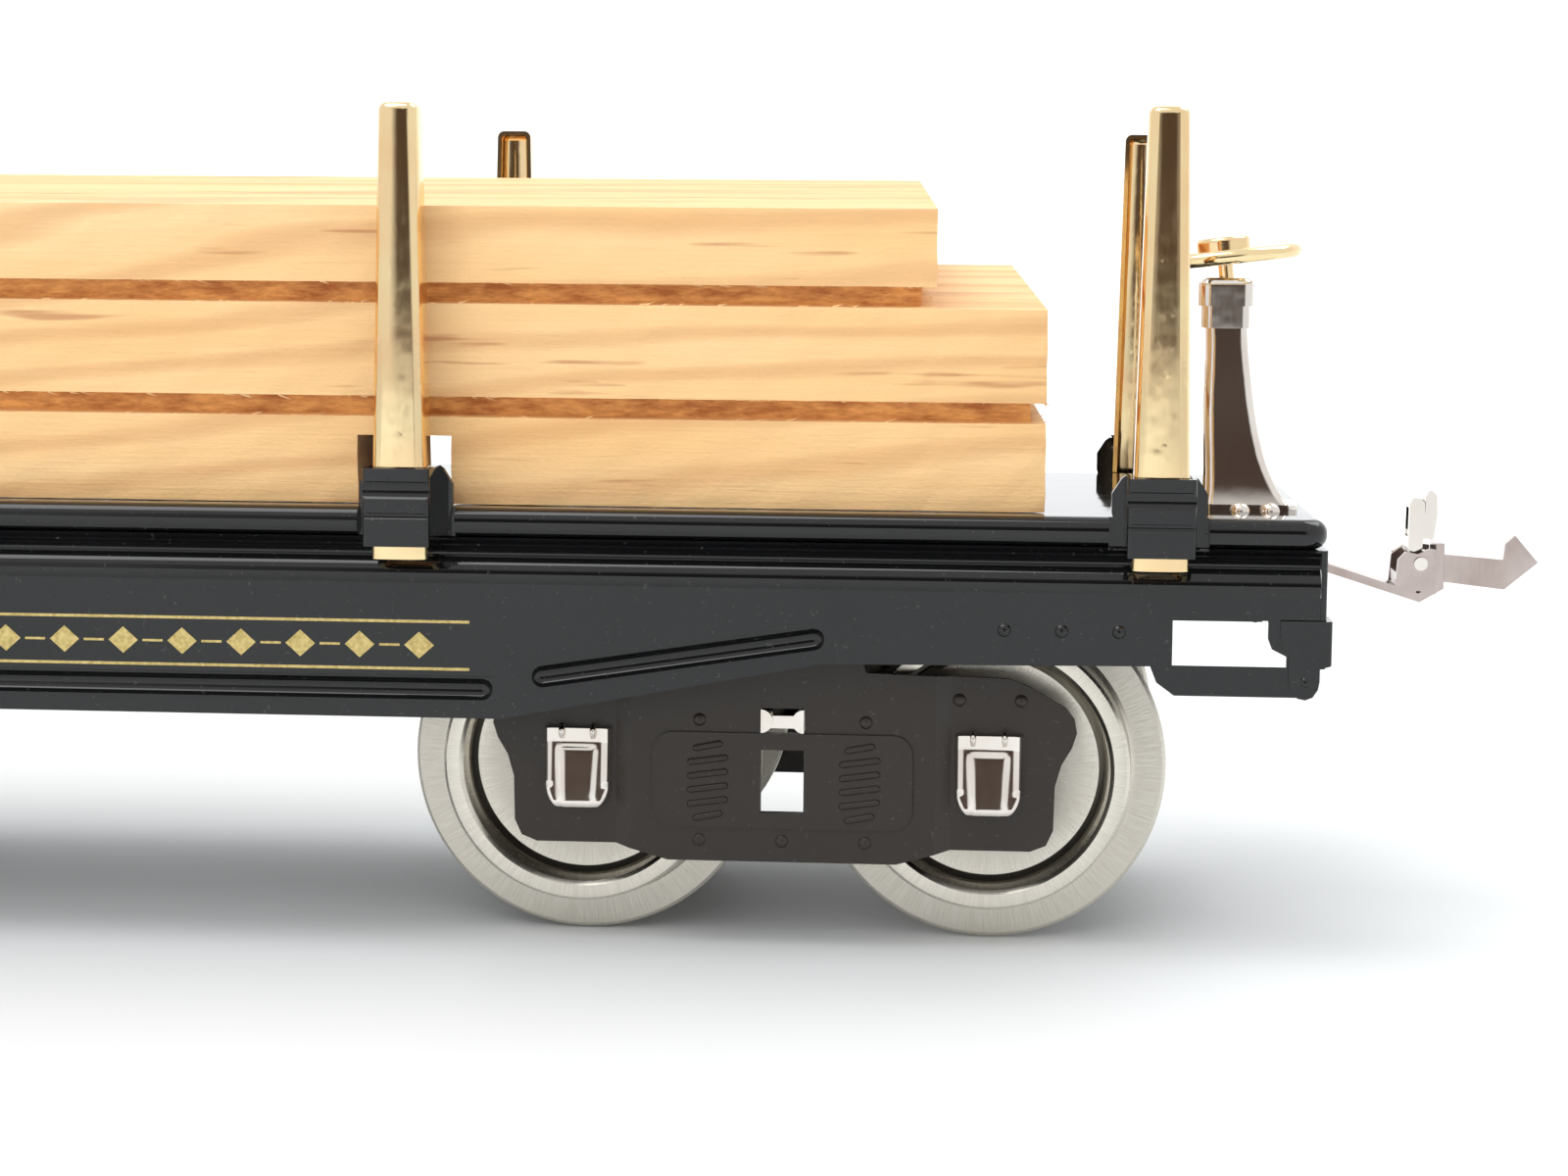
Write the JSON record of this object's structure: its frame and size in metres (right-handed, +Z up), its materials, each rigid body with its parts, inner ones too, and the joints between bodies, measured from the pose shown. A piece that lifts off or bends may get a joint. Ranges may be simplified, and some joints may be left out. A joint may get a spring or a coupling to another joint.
{
  "type": "model flat car",
  "caption": "Tinplate-style model flat car with removable stakes, a sawn lumber load, swivelling four-wheel trucks, latch couplers and a hand-brake stand.",
  "frame": {"origin": "middle of the car's length and width, level with the bottoms of the wheel flanges", "axes": "+X along the car towards the hand-brake end, +Y across to the car's left side, +Z up"},
  "size_m": [0.3806, 0.0968, 0.1064],
  "materials": {
    "black_enamel": "gloss",
    "truck_enamel": "satin",
    "polished_brass": "polished",
    "nickel_plate": "polished nickel",
    "wheel_nickel": "brushed nickel",
    "steel_axle": "satin",
    "sawn_pine": "bare sawn"
  },
  "bodies": {
    "car_body": {"deck_plate": "black_enamel", "side_sill_right": "black_enamel", "side_sill_left": "black_enamel", "sill_rivets": "black_enamel", "stake_pockets_right": "black_enamel", "stake_pockets_left": "black_enamel", "corner_straps": "black_enamel", "end_plate_front": "black_enamel", "end_plate_rear": "black_enamel", "body_bolster_front": "black_enamel", "body_bolster_rear": "black_enamel", "kingpins": "nickel_plate", "coupler_bracket_front": "black_enamel", "coupler_bracket_rear": "black_enamel", "coupler_pivots": "nickel_plate", "brake_stand": "nickel_plate", "brake_screws": "nickel_plate"},
    "truck_front": {"truck_bolster_front": "nickel_plate", "side_frame_right_front": "truck_enamel", "side_frame_left_front": "truck_enamel", "journal_boxes_front": "nickel_plate"},
    "wheelset_front_inner": {"axle_front_inner": "steel_axle", "wheel_front_inner_right": "wheel_nickel", "wheel_front_inner_left": "wheel_nickel"},
    "wheelset_front_outer": {"axle_front_outer": "steel_axle", "wheel_front_outer_right": "wheel_nickel", "wheel_front_outer_left": "wheel_nickel"},
    "coupler_front": {"coupler_arm_front": "nickel_plate", "coupler_head_front": "nickel_plate", "coupler_hook_front": "nickel_plate", "latch_pin_front": "nickel_plate", "latch_spring_front": "nickel_plate"},
    "latch_front": {"coupler_latch_front": "nickel_plate"},
    "truck_rear": {"truck_bolster_rear": "nickel_plate", "side_frame_right_rear": "truck_enamel", "side_frame_left_rear": "truck_enamel", "journal_boxes_rear": "nickel_plate"},
    "wheelset_rear_inner": {"axle_rear_inner": "steel_axle", "wheel_rear_inner_right": "wheel_nickel", "wheel_rear_inner_left": "wheel_nickel"},
    "wheelset_rear_outer": {"axle_rear_outer": "steel_axle", "wheel_rear_outer_right": "wheel_nickel", "wheel_rear_outer_left": "wheel_nickel"},
    "coupler_rear": {"coupler_arm_rear": "nickel_plate", "coupler_head_rear": "nickel_plate", "coupler_hook_rear": "nickel_plate", "latch_pin_rear": "nickel_plate", "latch_spring_rear": "nickel_plate"},
    "latch_rear": {"coupler_latch_rear": "nickel_plate"},
    "brake_wheel": {"brake_stem": "polished_brass", "brake_wheel": "polished_brass"},
    "stake_right_rear_outer": {"stake_right_rear_outer": "polished_brass"},
    "stake_right_rear_inner": {"stake_right_rear_inner": "polished_brass"},
    "stake_right_front_inner": {"stake_right_front_inner": "polished_brass"},
    "stake_right_front_outer": {"stake_right_front_outer": "polished_brass"},
    "stake_left_rear_outer": {"stake_left_rear_outer": "polished_brass"},
    "stake_left_rear_inner": {"stake_left_rear_inner": "polished_brass"},
    "stake_left_front_inner": {"stake_left_front_inner": "polished_brass"},
    "stake_left_front_outer": {"stake_left_front_outer": "polished_brass"},
    "load": {"lumber_load": "sawn_pine"}
  },
  "joints": [
    {"name": "truck_front_swivel", "type": "hinge", "parent": "car_body", "child": "truck_front", "pos_m": [0.0912, 0, 0.038], "axis": [0, 0, 1], "range_deg": [-10, 10]},
    {"name": "wheelset_front_inner_spin", "type": "hinge", "parent": "truck_front", "child": "wheelset_front_inner", "pos_m": [0.065, 0, 0.0228], "axis": [0, 1, 0], "continuous": true},
    {"name": "wheelset_front_outer_spin", "type": "hinge", "parent": "truck_front", "child": "wheelset_front_outer", "pos_m": [0.1174, 0, 0.0228], "axis": [0, 1, 0], "continuous": true},
    {"name": "coupler_front_swing", "type": "hinge", "parent": "car_body", "child": "coupler_front", "pos_m": [0.134, 0, 0.0473], "axis": [0, 0, 1], "range_deg": [-15, 15]},
    {"name": "latch_front_lift", "type": "hinge", "parent": "coupler_front", "child": "latch_front", "pos_m": [0.1746, 0, 0.0477], "axis": [0, -1, 0], "range_deg": [0, 30], "stiffness_Nm_per_rad": 0.002, "springref_deg": -17.19},
    {"name": "truck_rear_swivel", "type": "hinge", "parent": "car_body", "child": "truck_rear", "pos_m": [-0.0912, 0, 0.038], "axis": [0, 0, 1], "range_deg": [-10, 10]},
    {"name": "wheelset_rear_inner_spin", "type": "hinge", "parent": "truck_rear", "child": "wheelset_rear_inner", "pos_m": [-0.065, 0, 0.0228], "axis": [0, 1, 0], "continuous": true},
    {"name": "wheelset_rear_outer_spin", "type": "hinge", "parent": "truck_rear", "child": "wheelset_rear_outer", "pos_m": [-0.1174, 0, 0.0228], "axis": [0, 1, 0], "continuous": true},
    {"name": "coupler_rear_swing", "type": "hinge", "parent": "car_body", "child": "coupler_rear", "pos_m": [-0.134, 0, 0.0473], "axis": [0, 0, 1], "range_deg": [-15, 15]},
    {"name": "latch_rear_lift", "type": "hinge", "parent": "coupler_rear", "child": "latch_rear", "pos_m": [-0.1746, 0, 0.0477], "axis": [0, 1, 0], "range_deg": [0, 30], "stiffness_Nm_per_rad": 0.002, "springref_deg": -17.19},
    {"name": "brake_wheel_turn", "type": "hinge", "parent": "car_body", "child": "brake_wheel", "pos_m": [0.1468, -0.021, 0.0859], "axis": [-0.1132, 0, 0.9936], "continuous": true},
    {"name": "stake_right_rear_outer_lift", "type": "slide", "parent": "car_body", "child": "stake_right_rear_outer", "axis": [0, 0, 1], "range_m": [0, 0.02]},
    {"name": "stake_right_rear_inner_lift", "type": "slide", "parent": "car_body", "child": "stake_right_rear_inner", "axis": [0, 0, 1], "range_m": [0, 0.02]},
    {"name": "stake_right_front_inner_lift", "type": "slide", "parent": "car_body", "child": "stake_right_front_inner", "axis": [0, 0, 1], "range_m": [0, 0.02]},
    {"name": "stake_right_front_outer_lift", "type": "slide", "parent": "car_body", "child": "stake_right_front_outer", "axis": [0, 0, 1], "range_m": [0, 0.02]},
    {"name": "stake_left_rear_outer_lift", "type": "slide", "parent": "car_body", "child": "stake_left_rear_outer", "axis": [0, 0, 1], "range_m": [0, 0.02]},
    {"name": "stake_left_rear_inner_lift", "type": "slide", "parent": "car_body", "child": "stake_left_rear_inner", "axis": [0, 0, 1], "range_m": [0, 0.02]},
    {"name": "stake_left_front_inner_lift", "type": "slide", "parent": "car_body", "child": "stake_left_front_inner", "axis": [0, 0, 1], "range_m": [0, 0.02]},
    {"name": "stake_left_front_outer_lift", "type": "slide", "parent": "car_body", "child": "stake_left_front_outer", "axis": [0, 0, 1], "range_m": [0, 0.02]},
    {"name": "load_lift", "type": "slide", "parent": "car_body", "child": "load", "axis": [0, 0, 1], "range_m": [0, 0.06]}
  ]
}
